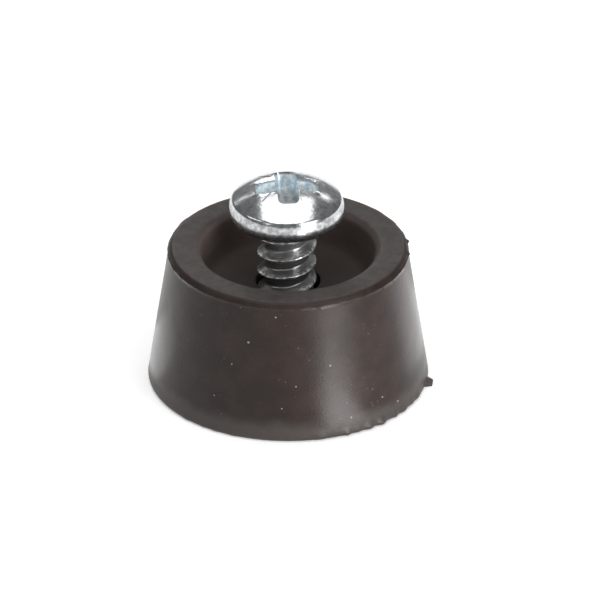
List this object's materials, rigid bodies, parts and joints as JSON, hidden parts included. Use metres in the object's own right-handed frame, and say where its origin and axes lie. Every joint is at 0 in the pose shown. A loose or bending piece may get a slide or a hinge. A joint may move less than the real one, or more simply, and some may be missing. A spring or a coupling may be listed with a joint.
{
  "type": "rubber foot with screw",
  "caption": "Tapered round rubber foot with a recessed rim, and its pan head tapping screw standing in the central hole.",
  "frame": {"origin": "centre of the hole in the wide face, on the plane of that face, which the part stands on", "axes": "+Z along the foot's axis, from the wide face to the recessed rim and the screw's head; +X is where the torn tab of flash points; -Y is the front"},
  "size_m": [0.0203, 0.02, 0.0155],
  "materials": {
    "black_rubber": "moulded, half gloss, with a faint mottle and pale dust",
    "zinc_plated_steel": "bright zinc plate, smooth dome, slightly bluish"
  },
  "bodies": {
    "root": {"rubber_foot": "black_rubber", "screw": "zinc_plated_steel"}
  },
  "joints": []
}
